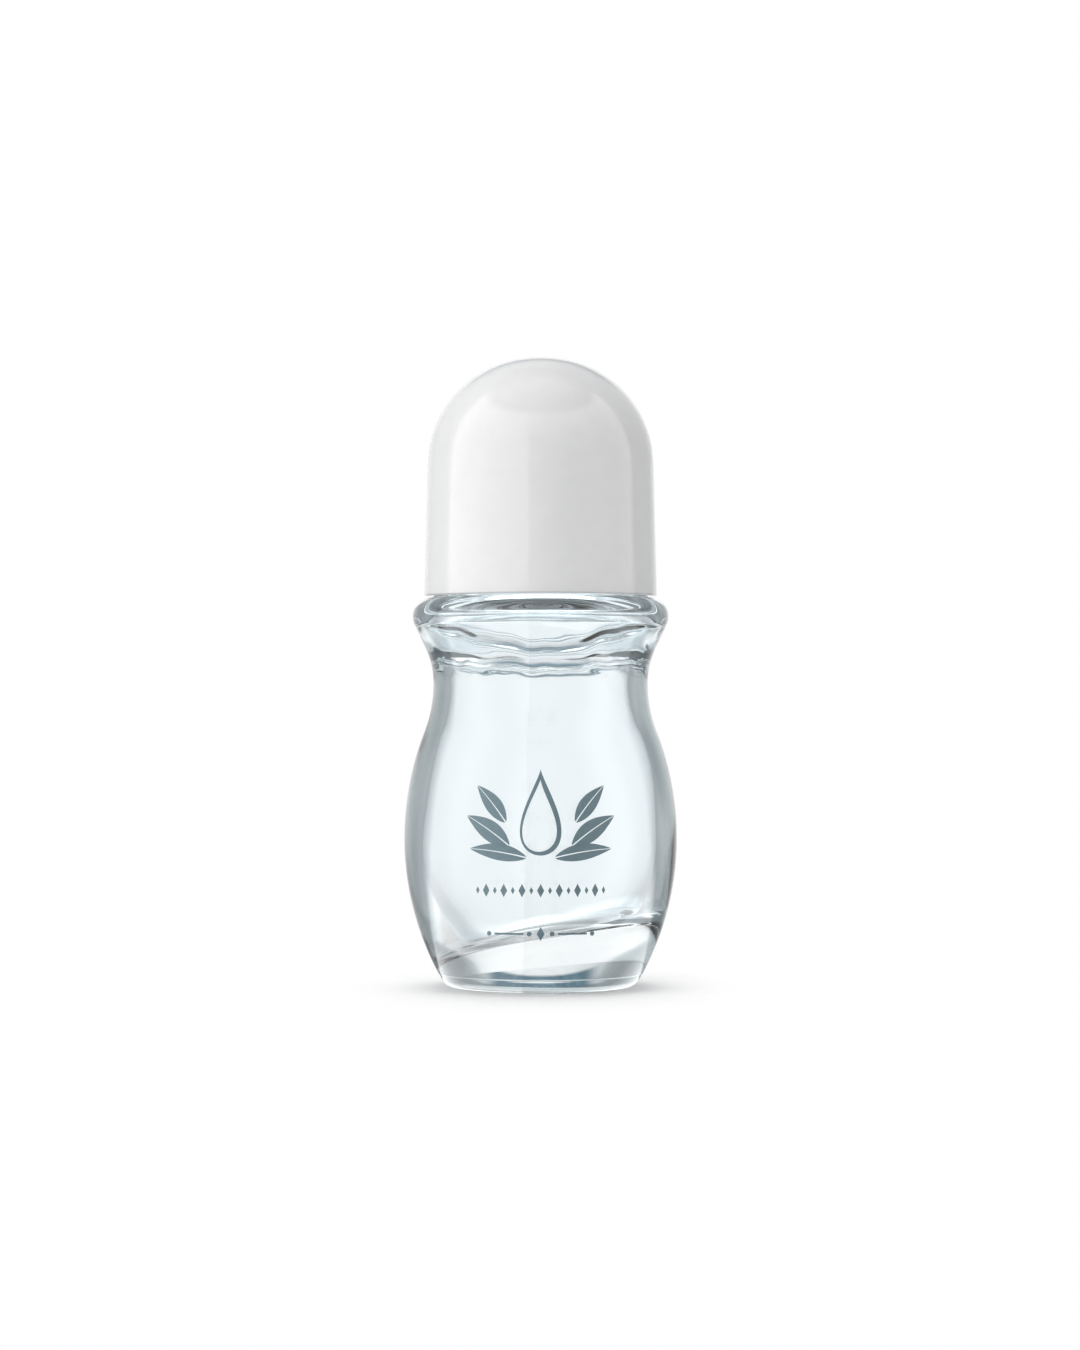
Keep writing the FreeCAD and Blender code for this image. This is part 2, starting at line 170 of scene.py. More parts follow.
def lathe(name, points, shape=None):
    """Turn an outline that starts and ends on the axis. A shape may move the rows before they are joined."""
    turn = np.linspace(0, math.tau, SEGMENTS, endpoint=False)[None, :]
    radius = np.repeat(points[:, :1], SEGMENTS, axis=1)
    height = np.repeat(points[:, 1:], SEGMENTS, axis=1)
    if shape:
        radius, height = shape(turn, radius, height)
    rows = len(points) - 2
    ring = np.stack([radius * np.cos(turn), radius * np.sin(turn), height], axis=-1)[1:-1].reshape(-1, 3)
    poles = [[0, 0, height[0].mean()], [0, 0, height[-1].mean()]]
    corners = np.vstack([ring, poles]) * MM
    here = np.arange(rows - 1)[:, None] * SEGMENTS + np.arange(SEGMENTS)[None, :]
    beside = np.arange(rows - 1)[:, None] * SEGMENTS + (np.arange(SEGMENTS)[None, :] + 1) % SEGMENTS
    quads = np.stack([here, beside, beside + SEGMENTS, here + SEGMENTS], axis=-1).reshape(-1, 4)
    first = rows * SEGMENTS
    last = first + 1
    foot = (rows - 1) * SEGMENTS
    fans = [(first, (i + 1) % SEGMENTS, i) for i in range(SEGMENTS)]
    fans += [(last, foot + i, foot + (i + 1) % SEGMENTS) for i in range(SEGMENTS)]
    return new_mesh(name, corners.tolist(), quads.tolist() + fans)


# Outside of the glass, as in the solids
NECK = 13.02
NECK_FILLET = 0.9
BORE = 10.72
SHOULDER = 55.9
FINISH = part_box("glass_bottle")[1][2] / MM
FINISH_ROUND = 0.6
BELLY = (19.605, 21.3)
WAIST = (15.43, 43.58)
TURN_SHARE = 0.69
FLARE_ANGLE = math.radians(24.9)
FLARE_ROUND = 11.9
FLARE_LENGTH = 3.84
LIP_ROUND = 2.69
BASE_RISE = 1.55
RING_INNER = 10.2
RING_OUTER = 12.1
HEEL = (14.67, 1.87)
HEEL_STEP = 0.12
THREAD = {"start": SHOULDER + 3.1, "pitch": 4.0, "turns": 1.5, "depth": 0.9, "base": 2.3, "crest": 1.1}
THREAD_SPAN = (SHOULDER + 1.2, FINISH - 0.8)
SEAM_SHARE = 0.3

# Hollow of the glass
INNER_BELLY = (16.9, 21.9)
INNER_WAIST = (12.7, 43.58)
INNER_HEEL = (8.77, 1.87)
PINCH = (12.75, 46.98)
ROOF = 53.5
ROOF_RADIUS = 15.3
ROOF_ROUND = 0.8
FLOOR = 7.5
FLOOR_ROUND = 1.3
FLOOR_RUN = 1.2
FLOOR_STEPS = 60
FLOOR_SLOPE = 0.175
FLOOR_CURL = 0.0002
FLOOR_DIP = 0.06
SLANT_SPAN = (9, 21)
SLANT_TOP = 21.2

# Rings where the blown wall folds in under the shoulder, and their rise at both sides; the last number is
# how strongly painted shade darkens the glass along each ring
RINGS = [
    {"level": 51.0, "rise": 2.2, "depth": 0.6, "width": 0.7, "fold_shade": 1.0},
    {"level": 47.0, "rise": 0.7, "depth": 0.75, "width": 0.65, "fold_shade": 1.25},
]
BELOW_CREST = 0.8
ABOVE_CREST = 1.3
RING_SPAN = (51.6, 52.8)
CREST_WAVES = [(0.16, 6, 0, 0.5), (0.12, 13, 0, 1.7), (0.07, 22, 0, 4.1)]

# Unevenness of the inner wall
WALL_WAVES = [(0.05, 2, 0.16, 0.4), (0.035, 3, -0.21, 1.9), (0.025, 5, 0.33, 4.0)]
WALL_SPAN = (8, FINISH - 12)
THROAT_WAVES = [(0.04, 5, 1.6, 0.7), (0.025, 11, 2.1, 2.2), (0.015, 23, 1.2, 0.3)]
THROAT_RISE = (43, 46)
THROAT_FALL = (49, 54)

# How finely the outline of the glass is kept, with a fine stretch at the rings
GLASS_ROUNDING = 0.1
GLASS_BEND = 3.0
GLASS_STEP = 0.8
FINE_STEP = 0.12
FINE_SPAN = (45, 53)


def glass_outside():
    """The outside of the glass, from the middle of the pushed-up base to the crown of the lip."""
    across = math.sin(FLARE_ANGLE)
    along = math.cos(FLARE_ANGLE)
    flare_start = (WAIST[0] + FLARE_ROUND * (1 - along), WAIST[1] + FLARE_ROUND * across)
    flare_end = (flare_start[0] + FLARE_LENGTH * across, flare_start[1] + FLARE_LENGTH * along)
    lip = flare_end[0] - LIP_ROUND * along
    path = Path(0, BASE_RISE).arc(RING_INNER, 0, centre_radius=0).line(RING_OUTER, 0)
    path.arc(HEEL[0] - HEEL_STEP, HEEL[1], centre_radius=RING_OUTER).line(*HEEL)
    path.arc(*BELLY, centre_height=BELLY[1]).arc(*between(BELLY, WAIST, TURN_SHARE), centre_height=BELLY[1])
    path.arc(*WAIST, centre_height=WAIST[1]).arc(*flare_start, centre_height=WAIST[1]).line(*flare_end)
    path.arc(lip, SHOULDER, centre_radius=lip).line(NECK + NECK_FILLET, SHOULDER)
    path.arc(NECK, SHOULDER + NECK_FILLET, centre_radius=NECK + NECK_FILLET)
    path.line(NECK, FINISH - FINISH_ROUND)
    path.arc(NECK - FINISH_ROUND, FINISH, centre_radius=NECK - FINISH_ROUND)
    path.line((NECK + BORE) / 2, FINISH)
    return path


# The wall of the hollow alone, carried down to the heel
inner_wall = np.array(Path(*INNER_HEEL).arc(*INNER_BELLY, centre_height=INNER_BELLY[1]).points)


def wall_radius(height):
    return np.interp(height, inner_wall[:, 1], inner_wall[:, 0])


def glass_inside(path):
    """Carry the outline on from the crown of the lip, down the bore and the wall to the floor's middle."""
    bore_foot = BORE + NECK_FILLET
    path.line(BORE + FINISH_ROUND, FINISH)
    path.arc(BORE, FINISH - FINISH_ROUND, centre_radius=BORE + FINISH_ROUND)
    path.line(BORE, ROOF + NECK_FILLET).arc(bore_foot, ROOF, centre_radius=bore_foot)
    path.line(ROOF_RADIUS - ROOF_ROUND, ROOF)
    path.arc(ROOF_RADIUS, ROOF - ROOF_ROUND, centre_height=ROOF - ROOF_ROUND)
    path.line(*PINCH).line(*INNER_WAIST)
    path.arc(*between(INNER_WAIST, INNER_BELLY, 1 - TURN_SHARE), centre_height=INNER_WAIST[1])
    path.arc(*INNER_BELLY, centre_height=INNER_BELLY[1])
    start = np.array([wall_radius(FLOOR + FLOOR_ROUND), FLOOR + FLOOR_ROUND])
    corner = np.array([wall_radius(FLOOR), FLOOR])
    end = corner - [FLOOR_RUN, 0]
    path.arc(*start, centre_height=INNER_BELLY[1])
    for share in np.linspace(0, 1, FLOOR_STEPS)[1:]:
        rest = 1 - share
        path.points.append(tuple(rest ** 2 * start + 2 * share * rest * corner + share ** 2 * end))
    path.line(0, FLOOR)
    return path


def thread_ridge(turn, height):
    """How far the screw thread stands out of the neck, fading at the mould seams on both sides."""
    half_base = THREAD["base"] / 2
    out = np.zeros_like(height)
    for lap in (0, 1):
        wound = turn + lap * math.tau
        away = np.abs(height - THREAD["start"] - THREAD["pitch"] * wound / math.tau)
        slope = (half_base - away) / (half_base - THREAD["crest"] / 2)
        ridge = THREAD["depth"] * rise(slope, (0, 1)) * (wound <= THREAD["turns"] * math.tau)
        out = np.maximum(out, ridge)
    room = NECK / np.maximum(np.abs(np.cos(turn)), SEAM_SHARE) - NECK
    return np.minimum(out, room)


def fold(ring, turn, height):
    """How near a place of the wall is to the crest of a ring: sharp below the crest and gentle above it."""
    crest = ring["level"] + ring["rise"] * np.cos(2 * turn) + waves(turn, 0, CREST_WAVES)
    away = (height - crest) / ring["width"]
    return np.exp(-((away / np.where(away < 0, BELOW_CREST, ABOVE_CREST)) ** 2))


def glass_shape(inside):
    """Wind the thread, slant the floor, and make the hollow as uneven as blown glass is."""
    def shape(turn, radius, height):
        neck = ~inside & (height > THREAD_SPAN[0]) & (height < THREAD_SPAN[1])
        radius = radius + neck * thread_ridge(turn, height)
        # Slanted floor: the lower hollow is sheared and keeps to the wall that it meets
        across = radius * np.cos(turn)
        lean = FLOOR_SLOPE * across + FLOOR_CURL * across ** 3 - FLOOR_DIP * radius * np.sin(turn)
        tilted = height + inside * fall(height, SLANT_SPAN) * lean
        low = inside & (height < SLANT_TOP)
        radius = np.where(low, radius * wall_radius(tilted) / wall_radius(height), radius)
        height = tilted
        # Folded rings and an uneven wall
        for ring in RINGS:
            radius = radius - inside * fall(height, RING_SPAN) * ring["depth"] * fold(ring, turn, height)
        throat = rise(height, THROAT_RISE) * fall(height, THROAT_FALL)
        ripple = waves(turn, height, WALL_WAVES) + throat * waves(turn, height, THROAT_WAVES)
        wall = inside & (height > WALL_SPAN[0]) & (height < WALL_SPAN[1])
        return radius + wall * ripple, height
    return shape


# Where painted shade darkens the glass and a painted glow lights it, in millimetres up the bottle and in
# shares of a turn to the side
EDGE_SHADE_TOP = {"span": (48, 52), "share": 0.85}
EDGE_SHADE_HEEL_SPAN = (4, 7.5)
EDGE_SHADE_GRADE = {"span": (14, 31), "low": 0.94, "gain": 0.11}
EDGE_SHADE_FOOT_SPAN = (0, 0.4)
FOLD_SHARPNESS = 2.5
FOLD_TOP = 52.5
FOLD_SIDE = {"span": (0.3, 0.7), "share": 0.8}
THROAT_SIDE_SHADE_AND_GLOW = {"span": (0.45, 0.8), "rise": (46.8, 47.8), "fall": (51.9, 52.5), "share": 0.6}
ROOF_GLOW = {"rise": (52.4, 53.2), "top": 53.7, "near": (12.5, 13.8), "far": (14.3, 15.0), "fade": 0.5}
CORNER_GLOW = {"rise": (0.02, 0.3), "fall": (0.9, 1.6), "span": (0.2, 0.7), "share": 0.95}


def mark_glass(glass, levels, inside):
    """Note on every corner of the glass how much painted shade darkens it outside and in a fold, and how
    much painted glow lights it.
    """
    def each_corner(rows):
        return np.append(np.repeat(rows, SEGMENTS), [0.0, 0.0])

    def note(name, values):
        attribute = glass.data.attributes.new(name, "FLOAT", "POINT")
        attribute.data.foreach_set("value", values)

    # Painted edge shade on the outside of the glass: weak near the shoulder, strong at the heel, graded up
    # the belly
    edge = 1 - EDGE_SHADE_TOP["share"] * rise(levels, EDGE_SHADE_TOP["span"]) + fall(levels, EDGE_SHADE_HEEL_SPAN)
    edge = edge * (EDGE_SHADE_GRADE["low"] + EDGE_SHADE_GRADE["gain"] * rise(levels, EDGE_SHADE_GRADE["span"]))
    note("outside", each_corner(edge * rise(levels, EDGE_SHADE_FOOT_SPAN) * ~inside))

    places = np.array([vertex.co for vertex in glass.data.vertices]) / MM
    height = places[:, 2]
    size = np.hypot(places[:, 0], places[:, 1])
    turn = np.arctan2(places[:, 1], places[:, 0])
    hollow = each_corner(inside)
    # Painted shade and painted glow on both sides of the throat
    sides = rise(np.abs(np.cos(turn)), THROAT_SIDE_SHADE_AND_GLOW["span"]) * rise(height, THROAT_SIDE_SHADE_AND_GLOW["rise"])
    sides = THROAT_SIDE_SHADE_AND_GLOW["share"] * sides * fall(height, THROAT_SIDE_SHADE_AND_GLOW["fall"])

    # Painted shade along the crest of each ring, weaker at the sides
    fold_shade = sum(ring["fold_shade"] * fold(ring, turn, height) ** FOLD_SHARPNESS for ring in RINGS)
    fold_shade = fold_shade * (1 - FOLD_SIDE["share"] * rise(np.abs(np.cos(turn)), FOLD_SIDE["span"]))
    note("painted_fold_shade", (fold_shade + sides) * hollow * (height < FOLD_TOP))

    # Painted glow under the roof, at the floor's corner on the +X side, and at the throat's sides
    roof = rise(height, ROOF_GLOW["rise"]) * (height < ROOF_GLOW["top"]) * rise(size, ROOF_GLOW["near"])
    roof = roof * (1 - ROOF_GLOW["fade"] * rise(size, ROOF_GLOW["far"]))
    corner = rise(levels - FLOOR, CORNER_GLOW["rise"]) * fall(levels - FLOOR, CORNER_GLOW["fall"])
    corner = CORNER_GLOW["share"] * each_corner(corner) * rise(np.cos(turn), CORNER_GLOW["span"])
    note("glass_glow", (roof + sides + corner) * hollow)


def build_glass():
    path = glass_outside()
    lip_length = len(path.points)
    outline = glass_inside(path).rounded(GLASS_ROUNDING)
    level = outline[:, 1]
    past_lip = np.arange(len(outline)) > lip_length
    throat = np.flatnonzero(past_lip & (level > FINE_SPAN[0]) & (level < FINE_SPAN[1]))
    kept = thinned(outline, GLASS_BEND, GLASS_STEP, (throat[0], throat[-1]), FINE_STEP)
    inside = kept >= lip_length
    made = lathe("clear_glass_bottle", outline[kept], glass_shape(inside[:, None]))
    mark_glass(made, level[kept][1:-1], inside[1:-1])
    return made


glass = build_glass()
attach(glass, "bottle")
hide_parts("glass_bottle")


# Front print: a drop between two sprigs, a row of lozenges, and a rule between dots
PRINT_LIFT = 0.012
PRINT_SPAN = (2, 45)
PRINT_LEAST_RADIUS = 13
DROP = {"level": 25.6, "tall": 12.0, "wide": 8.4, "swell": 1.6}
DROP_LINE = {"share": 0.17, "thick_side": 0.35, "sink_share": 0.04}
# Each leaf: foot across and up, angle, length, width and bend
LEAVES = [
    ((4.4, 20.9), 33, 7.6, 2.7, 1.0),
    ((4.9, 24.2), 50, 6.6, 2.3, 0.7),
    ((2.0, 19.3), 8, 8.4, 2.2, 0.9),
]
VEIN = 0.09
VEIN_TAPER_SHARE = 0.6
LEAF_LEAN = 0.85
LEAF_FULLNESS = 0.9
ROW = {"level": 14.7, "side": 7, "gap": 1.3, "wide": 1.0, "tall": 1.9, "small": 0.55}
RULE = {"level": 8.6, "bar": 4.2, "bar_place": 4.5, "line": 0.28, "dots": (1.6, 7.4), "dot": 0.34}
RULE_LOZENGE = (1.1, 2.0)

front = np.array([
    point for point in glass_outside().points
    if PRINT_SPAN[0] < point[1] < PRINT_SPAN[1] and point[0] > PRINT_LEAST_RADIUS
])


def wrapped(across, height):
    """A place of the print, laid around the front of the glass a hair off it."""
    radius = np.interp(height, front[:, 1], front[:, 0]) + PRINT_LIFT
    turn = across / radius - math.pi / 2
    return np.stack([radius * np.cos(turn), radius * np.sin(turn), height], axis=-1) * MM


def patch(shape, along, aside):
    """A printed shape as a grid: the shape takes shares along and aside and gives a place across and up."""
    first, second = np.meshgrid(np.linspace(0, 1, along + 1), np.linspace(0, 1, aside + 1), indexing="ij")
    across, height = shape(first, second)
    corners = wrapped(across, height).reshape(-1, 3)
    start = np.arange(along)[:, None] * (aside + 1) + np.arange(aside)[None, :]
    faces = np.stack([start, start + 1, start + aside + 2, start + aside + 1], axis=-1).reshape(-1, 4)
    return corners, faces


def drop_line(along, aside):
    """The outline of a drop, thicker along one side."""
    turn = along * math.tau
    out = DROP["wide"] / 2 * np.sin(turn) * np.sin(turn / 2) ** DROP["swell"]
    up = DROP["tall"] / 2 * np.cos(turn)
    weight = 1 - DROP_LINE["share"] * (1 + DROP_LINE["thick_side"] * np.sin(turn)) * aside
    return out * weight, DROP["level"] - DROP_LINE["sink_share"] * DROP["tall"] * aside + up * weight


def leaf_half(foot, angle, length, width, bend, side):
    """One half of a leaf, beside the bare vein down its middle."""
    lean = math.radians(angle)

    def shape(along, aside):
        vein = VEIN * (1 - VEIN_TAPER_SHARE * along)
        edge = vein + width / 2 * np.sin(math.pi * along ** LEAF_LEAN) ** LEAF_FULLNESS
        step = length * along
        off = side * (vein + (edge - vein) * aside) + bend * along * (1 - along)
        across = foot[0] + step * math.cos(lean) - off * math.sin(lean)
        return across, foot[1] + step * math.sin(lean) + off * math.cos(lean)
    return shape


def lozenge(middle, wide, tall):
    def shape(along, aside):
        return middle[0] + wide / 2 * (along + aside - 1), middle[1] + tall / 2 * (along - aside)
    return shape


def disc(middle, radius):
    def shape(along, aside):
        turn = along * math.tau
        return middle[0] + radius * aside * np.cos(turn), middle[1] + radius * aside * np.sin(turn)
    return shape


def bar(middle, wide, tall):
    def shape(along, aside):
        return middle[0] + wide * (along - 0.5), middle[1] + tall * (aside - 0.5)
    return shape


def print_patches():
    """All shapes of the print, with how finely each is divided along and aside."""
    yield patch(drop_line, along=120, aside=4)
    for way in (1, -1):
        for foot, angle, length, width, bend in LEAVES:
            lean = angle if way == 1 else 180 - angle
            for side in (1, -1):
                half = leaf_half((way * foot[0], foot[1]), lean, length, width, way * bend, side)
                yield patch(half, along=36, aside=4)
    for count in range(-ROW["side"], ROW["side"] + 1):
        small = ROW["small"] if count % 2 else 1.0
        shape = lozenge((count * ROW["gap"], ROW["level"]), ROW["wide"] * small, ROW["tall"] * small)
        yield patch(shape, along=4, aside=4)
    yield patch(lozenge((0, RULE["level"]), *RULE_LOZENGE), along=4, aside=4)
    for way in (1, -1):
        rule = bar((way * RULE["bar_place"], RULE["level"]), RULE["bar"], RULE["line"])
        yield patch(rule, along=20, aside=2)
        for place in RULE["dots"]:
            yield patch(disc((way * place, RULE["level"]), RULE["dot"]), along=24, aside=3)


def front_print():
    corners = []
    faces = []
    count = 0
    for points, quads in print_patches():
        corners.append(points)
        faces.append(quads + count)
        count += len(points)
    return new_mesh("front_print", np.vstack(corners).tolist(), np.vstack(faces).tolist())


ink = front_print()
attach(ink, "bottle")


# Cap shell, as in the solids
CAP_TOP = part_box("cap_shell")[1][2] / MM
CAP_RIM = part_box("cap_shell")[0][2] / MM
CAP_SIDE = 16.27
CAP_DOME = 15.63
CAP_WALL = 1.3
CAP_CROWN = math.radians(14.6)
CAP_DRAFT = math.radians(1.49)
RIM_ROUND = 0.3
# The bead inside the rim: heights over the rim of its start, crest and end, and its depth
BEAD = (0.1, 0.35, 0.6)
BEAD_DEPTH = 0.3
CAP_ROUNDING = 0.06
CAP_BEND = 2.5
CAP_STEP = 0.7


def cap_path():
    """The cap's section, from the top of the dome down the outside, around the rim and up the inside."""
    reach = CAP_DOME * math.sin(CAP_CROWN) - CAP_SIDE * (1 - math.cos(CAP_CROWN))
    corner = reach / (math.sin(CAP_CROWN) + math.cos(CAP_CROWN) - 1)
    foot = CAP_TOP - CAP_DOME
    middle = CAP_SIDE - corner

    def turn_point(inward):
        size = corner - inward
        return middle + size * math.sin(CAP_CROWN), foot + size * math.cos(CAP_CROWN)

    def foot_point(inward):
        size = corner - inward
        return middle + size * math.cos(CAP_DRAFT), foot + size * math.sin(CAP_DRAFT)

    def side_point(over_rim, inward):
        height = CAP_RIM + over_rim
        size = corner - inward
        return middle + size / math.cos(CAP_DRAFT) + (foot - height) * math.tan(CAP_DRAFT), height

    path = Path(0, CAP_TOP).arc(*turn_point(0), centre_radius=0).arc(*foot_point(0), centre_height=foot)
    outer = side_point(RIM_ROUND, 0)
    path.line(*outer).arc(outer[0] - RIM_ROUND, CAP_RIM, centre_height=CAP_RIM + RIM_ROUND)
    path.line(*side_point(0, CAP_WALL)).line(*side_point(BEAD[0], CAP_WALL))
    path.line(*side_point(BEAD[1], CAP_WALL + BEAD_DEPTH)).line(*side_point(BEAD[2], CAP_WALL))
    path.line(*foot_point(CAP_WALL)).arc(*turn_point(CAP_WALL), centre_height=foot)
    return path.arc(0, CAP_TOP - CAP_WALL, centre_radius=0)


def build_cap():
    outline = cap_path().rounded(CAP_ROUNDING)
    return lathe("gloss_cap_shell", outline[thinned(outline, CAP_BEND, CAP_STEP)])


cap = build_cap()
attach(cap, "cap")
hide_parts("cap_shell")


# Materials
NOISE_SPAN = (0.3, 0.7)
GLASS_IOR = 1.5
# Tint of the glass, deepened by painted shade to dark blue-grey where its surface turns away
GLASS_TINT_AND_EDGE_SHADE = [
    (0.0, (0.925, 0.960, 0.973)),
    (0.44, (0.91, 0.95, 0.965)),
    (0.535, (0.76, 0.83, 0.85)),
    (0.60, (0.36, 0.43, 0.45)),
    (0.68, (0.21, 0.265, 0.28)),
    (0.79, (0.17, 0.215, 0.23)),
]
# Painted shade: dark blue lines along the crests of the folded rings
FOLD_SHADE_COLOUR = (0.08, 0.14, 0.18)
GLASS_GLOW_COLOUR = (0.80, 0.92, 0.97)
GLASS_GLOW_LEVELS = (0.16, 0.44)
GLASS_ROUGHNESS = (0.0, 0.012)
GLASS_NOISE = 60
GLASS_NOISE_DETAIL = 2.0
FACING_BLEND = 0.5
STREAK_NOISE = 260
GLASS_BUMP = (0.02, 0.0004)
PLASTIC_BUMP_DEPTH = 0.00005
ROUGH_SPREAD = 0.15
PLASTIC_GLOW_AND_LAMP_COLOUR = (0.88, 0.96, 1.0)


def math_node(tree, operation, *values):
    node = tree.nodes.new("ShaderNodeMath")
    node.operation = operation
    for socket, value in zip(node.inputs, values):
        if isinstance(value, (int, float)):
            socket.default_value = value
        else:
            tree.links.new(value, socket)
    return node.outputs[0]


def smooth_range(tree, value, span):
    """Nothing below a span, all above it, and a smooth rise between."""
    node = tree.nodes.new("ShaderNodeMapRange")
    node.interpolation_type = "SMOOTHSTEP"
    node.inputs["From Min"].default_value = span[0]
    node.inputs["From Max"].default_value = span[1]
    tree.links.new(value, node.inputs["Value"])
    return node.outputs["Result"]


def mix_colours(tree, factor, first, second):
    """Mix a colour that comes from a node with one that is given."""
    mix = tree.nodes.new("ShaderNodeMix")
    mix.data_type = "RGBA"
    tree.links.new(factor, mix.inputs["Factor"])
    tree.links.new(first, mix.inputs["A"])
    mix.inputs["B"].default_value = (*second, 1)
    return mix.outputs["Result"]


def colour_ramp(tree, value, stops):
    """A colour by a value, from stops that each have a position and a colour."""
    ramp = tree.nodes.new("ShaderNodeValToRGB")
    elements = ramp.color_ramp.elements
    elements.remove(elements[-1])
    for count, (position, colour) in enumerate(stops):
        element = elements[0] if count == 0 else elements.new(position)
        element.position = position
        element.color = (*colour, 1)
    tree.links.new(value, ramp.inputs["Fac"])
    return ramp.outputs["Color"]


def add_noise(tree, scale, detail=3.0):
    place = tree.nodes.new("ShaderNodeTexCoord")
    noise = tree.nodes.new("ShaderNodeTexNoise")
    noise.inputs["Scale"].default_value = scale
    noise.inputs["Detail"].default_value = detail
    tree.links.new(place.outputs["Object"], noise.inputs["Vector"])
    return noise.outputs["Fac"]


def spread(tree, noise, levels):
    """Map a noise to a range of values."""
    ranged = tree.nodes.new("ShaderNodeMapRange")
    ranged.inputs["From Min"].default_value = NOISE_SPAN[0]
    ranged.inputs["From Max"].default_value = NOISE_SPAN[1]
    ranged.inputs["To Min"].default_value = levels[0]
    ranged.inputs["To Max"].default_value = levels[1]
    tree.links.new(noise, ranged.inputs["Value"])
    return ranged.outputs["Result"]


def add_bump(tree, shader, noise, strength, distance):
    bump = tree.nodes.new("ShaderNodeBump")
    bump.inputs["Strength"].default_value = strength
    bump.inputs["Distance"].default_value = distance
    tree.links.new(noise, bump.inputs["Height"])
    tree.links.new(bump.outputs["Normal"], shader.inputs["Normal"])


def add_colour(tree, shader, noise, dark, light):
    colour = colour_ramp(tree, noise, list(zip(NOISE_SPAN, (dark, light))))
    tree.links.new(colour, shader.inputs["Base Color"])


def noted(tree, name):
    """A value that the corners of a mesh carry."""
    node = tree.nodes.new("ShaderNodeAttribute")
    node.attribute_name = name
    return node.outputs["Fac"]


def new_material(name):
    made = bpy.data.materials.new(name)
    made.use_nodes = True
    return made, made.node_tree, made.node_tree.nodes["Principled BSDF"]


def glass_material():
    """Clear, slightly uneven glass with a faint blue cast; painted shade darkens it where the surface turns
    away and along the folds, and a painted glow lights it inside.
    """
    made, tree, shader = new_material("clear_glass")
    shader.inputs["Transmission Weight"].default_value = 1.0
    shader.inputs["IOR"].default_value = GLASS_IOR
    facing = tree.nodes.new("ShaderNodeLayerWeight")
    facing.inputs["Blend"].default_value = FACING_BLEND
    # Painted shade: the glass darkens where its outside turns away, and along the folds
    turned = math_node(tree, "MULTIPLY", facing.outputs["Facing"], noted(tree, "outside"))
    colour = mix_colours(tree, noted(tree, "painted_fold_shade"), colour_ramp(tree, turned, GLASS_TINT_AND_EDGE_SHADE), FOLD_SHADE_COLOUR)
    tree.links.new(colour, shader.inputs["Base Color"])
    noise = add_noise(tree, GLASS_NOISE, GLASS_NOISE_DETAIL)
    tree.links.new(spread(tree, noise, GLASS_ROUGHNESS), shader.inputs["Roughness"])
    add_bump(tree, shader, noise, *GLASS_BUMP)
    # Painted glow under the roof, at an inner corner and at the throat's sides, standing in for light that
    # the thick glass carries around inside it
    glow_streaks = spread(tree, add_noise(tree, STREAK_NOISE, GLASS_NOISE_DETAIL), GLASS_GLOW_LEVELS)
    shader.inputs["Emission Color"].default_value = (*GLASS_GLOW_COLOUR, 1)
    glass_glow = math_node(tree, "MULTIPLY", noted(tree, "glass_glow"), glow_streaks)
    tree.links.new(glass_glow, shader.inputs["Emission Strength"])
    return made


def plastic_material(name, dark, light, rough, coarse=400, bump=0.05, plastic_glow=0.0):
    """Moulded plastic: near-even colour, uneven in gloss and surface, with a painted glow that stands in for
    light from within.
    """
    made, tree, shader = new_material(name)
    # Painted glow: the plastic gives off light of its own
    shader.inputs["Emission Color"].default_value = (*PLASTIC_GLOW_AND_LAMP_COLOUR, 1)
    shader.inputs["Emission Strength"].default_value = plastic_glow
    noise = add_noise(tree, coarse)
    add_colour(tree, shader, noise, dark, light)
    levels = (rough * (1 - ROUGH_SPREAD), rough * (1 + ROUGH_SPREAD))
    tree.links.new(spread(tree, noise, levels), shader.inputs["Roughness"])
    add_bump(tree, shader, noise, bump, PLASTIC_BUMP_DEPTH)
    return made


def ink_material():
    return plastic_material("slate_ink", (0.125, 0.192, 0.222), (0.15, 0.222, 0.252), rough=0.4, coarse=900)


def cap_material():
    return plastic_material("gloss_white_cap", (0.83, 0.83, 0.83), (0.85, 0.85, 0.85), rough=0.05)


def housing_material():
    dark = (0.54, 0.55, 0.55)
    light = (0.55, 0.56, 0.56)
    # A faint painted glow lights the housing
    return plastic_material("housing_plastic", dark, light, rough=0.34, coarse=1200, bump=0.006, plastic_glow=0.12)


def ball_material():
    dark = (0.61, 0.62, 0.62)
    light = (0.625, 0.635, 0.635)
    # A faint painted glow lights the ball
    return plastic_material("ball_plastic", dark, light, rough=0.14, coarse=1200, bump=0.006, plastic_glow=0.12)


def insert_material():
    # Dark colour under a strong painted glow
    return plastic_material("insert_plastic", (0.46, 0.47, 0.47), (0.50, 0.51, 0.51), rough=0.45, plastic_glow=0.6)


def pad_material():
    dark = (0.68, 0.68, 0.66)
    light = (0.76, 0.76, 0.74)
    return plastic_material("pad_foam", dark, light, rough=0.8, coarse=1500, bump=0.4)


def dress(piece, material):
    piece.data.materials.clear()
    piece.data.materials.append(material)


def dress_solid(node, material):
    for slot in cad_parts[node].material_slots:
        slot.material = material


dress(glass, glass_material())
dress(ink, ink_material())
dress(cap, cap_material())
dress_solid("ball_housing", housing_material())
dress_solid("roller_ball", ball_material())
dress_solid("cap_insert", insert_material())
dress_solid("cap_pad", pad_material())


